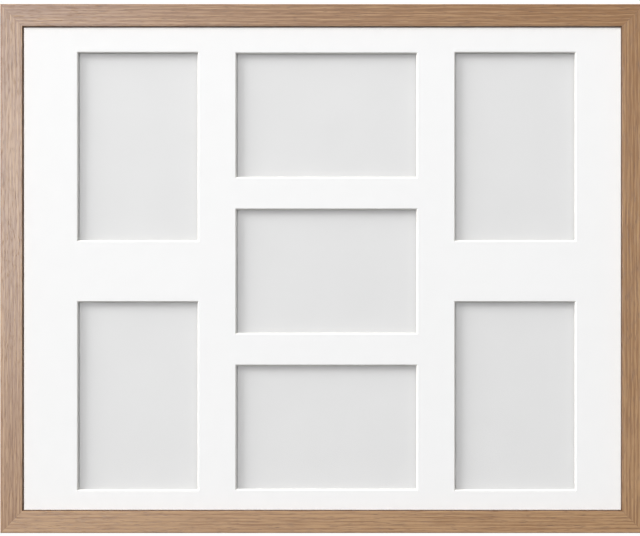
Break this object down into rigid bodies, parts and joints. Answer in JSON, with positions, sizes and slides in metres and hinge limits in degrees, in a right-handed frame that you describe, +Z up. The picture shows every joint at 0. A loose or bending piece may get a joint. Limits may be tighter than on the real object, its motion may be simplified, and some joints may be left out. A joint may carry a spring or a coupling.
{
  "type": "collage photo frame",
  "caption": "Wall-hung oak photo frame: glass, white mount with bevelled windows for upright and level prints, backing held by turn buttons, ring hangers.",
  "frame": {"origin": "middle of the flat bottom edge, halfway between the front face and the moulding's back face", "axes": "+X to the right seen from the front, +Y from the glass towards the wall, +Z up"},
  "size_m": [0.509, 0.0189, 0.418],
  "materials": {
    "oak": "light oak, straight grain, satin clear lacquer",
    "nail_steel": "bare rolled steel strip, cut edge",
    "glass": "clear float glass, polished",
    "mount_card": "white mount board, smooth face, white core",
    "carrier_card": "off-white board, die-cut",
    "print_paper": "blank light grey insert card, matt",
    "hardboard": "brown hardboard, pressed fibres",
    "screw_steel": "bright zinc plate",
    "zinc_steel": "zinc-plated pressed strip",
    "ring_steel": "zinc-plated drawn wire"
  },
  "bodies": {
    "frame": {"rail_bottom": "oak", "rail_top": "oak", "rail_left": "oak", "rail_right": "oak", "corner_nails": "nail_steel", "glass": "glass", "mount_board": "mount_card", "print_carrier": "carrier_card", "print_top_left": "print_paper", "print_bottom_left": "print_paper", "print_top_middle": "print_paper", "print_centre": "print_paper", "print_bottom_middle": "print_paper", "print_top_right": "print_paper", "print_bottom_right": "print_paper", "backing_board": "hardboard", "button_screws": "screw_steel", "hanger_strap_left": "zinc_steel", "hanger_strap_right": "zinc_steel", "hanger_screws": "screw_steel"},
    "turn_button_bottom_left": {"turn_button_bottom_left": "zinc_steel"},
    "turn_button_bottom_middle": {"turn_button_bottom_middle": "zinc_steel"},
    "turn_button_bottom_right": {"turn_button_bottom_right": "zinc_steel"},
    "turn_button_top_left": {"turn_button_top_left": "zinc_steel"},
    "turn_button_top_middle": {"turn_button_top_middle": "zinc_steel"},
    "turn_button_top_right": {"turn_button_top_right": "zinc_steel"},
    "turn_button_left_low": {"turn_button_left_low": "zinc_steel"},
    "turn_button_left_high": {"turn_button_left_high": "zinc_steel"},
    "turn_button_right_low": {"turn_button_right_low": "zinc_steel"},
    "turn_button_right_high": {"turn_button_right_high": "zinc_steel"},
    "hanger_ring_left": {"hanger_ring_left": "ring_steel"},
    "hanger_ring_right": {"hanger_ring_right": "ring_steel"}
  },
  "joints": [
    {"name": "bottom_left_button_turn", "type": "hinge", "parent": "frame", "child": "turn_button_bottom_left", "pos_m": [-0.1705, 0.00795, 0.0058], "axis": [0, 1, 0], "continuous": true},
    {"name": "bottom_middle_button_turn", "type": "hinge", "parent": "frame", "child": "turn_button_bottom_middle", "pos_m": [0, 0.00795, 0.0058], "axis": [0, 1, 0], "continuous": true},
    {"name": "bottom_right_button_turn", "type": "hinge", "parent": "frame", "child": "turn_button_bottom_right", "pos_m": [0.1705, 0.00795, 0.0058], "axis": [0, 1, 0], "continuous": true},
    {"name": "top_left_button_turn", "type": "hinge", "parent": "frame", "child": "turn_button_top_left", "pos_m": [-0.1705, 0.00795, 0.4122], "axis": [0, 1, 0], "continuous": true},
    {"name": "top_middle_button_turn", "type": "hinge", "parent": "frame", "child": "turn_button_top_middle", "pos_m": [0, 0.00795, 0.4122], "axis": [0, 1, 0], "continuous": true},
    {"name": "top_right_button_turn", "type": "hinge", "parent": "frame", "child": "turn_button_top_right", "pos_m": [0.1705, 0.00795, 0.4122], "axis": [0, 1, 0], "continuous": true},
    {"name": "left_low_button_turn", "type": "hinge", "parent": "frame", "child": "turn_button_left_low", "pos_m": [-0.2487, 0.00795, 0.076], "axis": [0, 1, 0], "continuous": true},
    {"name": "left_high_button_turn", "type": "hinge", "parent": "frame", "child": "turn_button_left_high", "pos_m": [-0.2487, 0.00795, 0.342], "axis": [0, 1, 0], "continuous": true},
    {"name": "right_low_button_turn", "type": "hinge", "parent": "frame", "child": "turn_button_right_low", "pos_m": [0.2487, 0.00795, 0.076], "axis": [0, 1, 0], "continuous": true},
    {"name": "right_high_button_turn", "type": "hinge", "parent": "frame", "child": "turn_button_right_high", "pos_m": [0.2487, 0.00795, 0.342], "axis": [0, 1, 0], "continuous": true},
    {"name": "left_ring_swing", "type": "hinge", "parent": "frame", "child": "hanger_ring_left", "pos_m": [-0.2474, 0.00918, 0.286], "axis": [-1, 0, 0], "range_deg": [-11, 166]},
    {"name": "right_ring_swing", "type": "hinge", "parent": "frame", "child": "hanger_ring_right", "pos_m": [0.2474, 0.00918, 0.286], "axis": [-1, 0, 0], "range_deg": [-11, 166]}
  ]
}
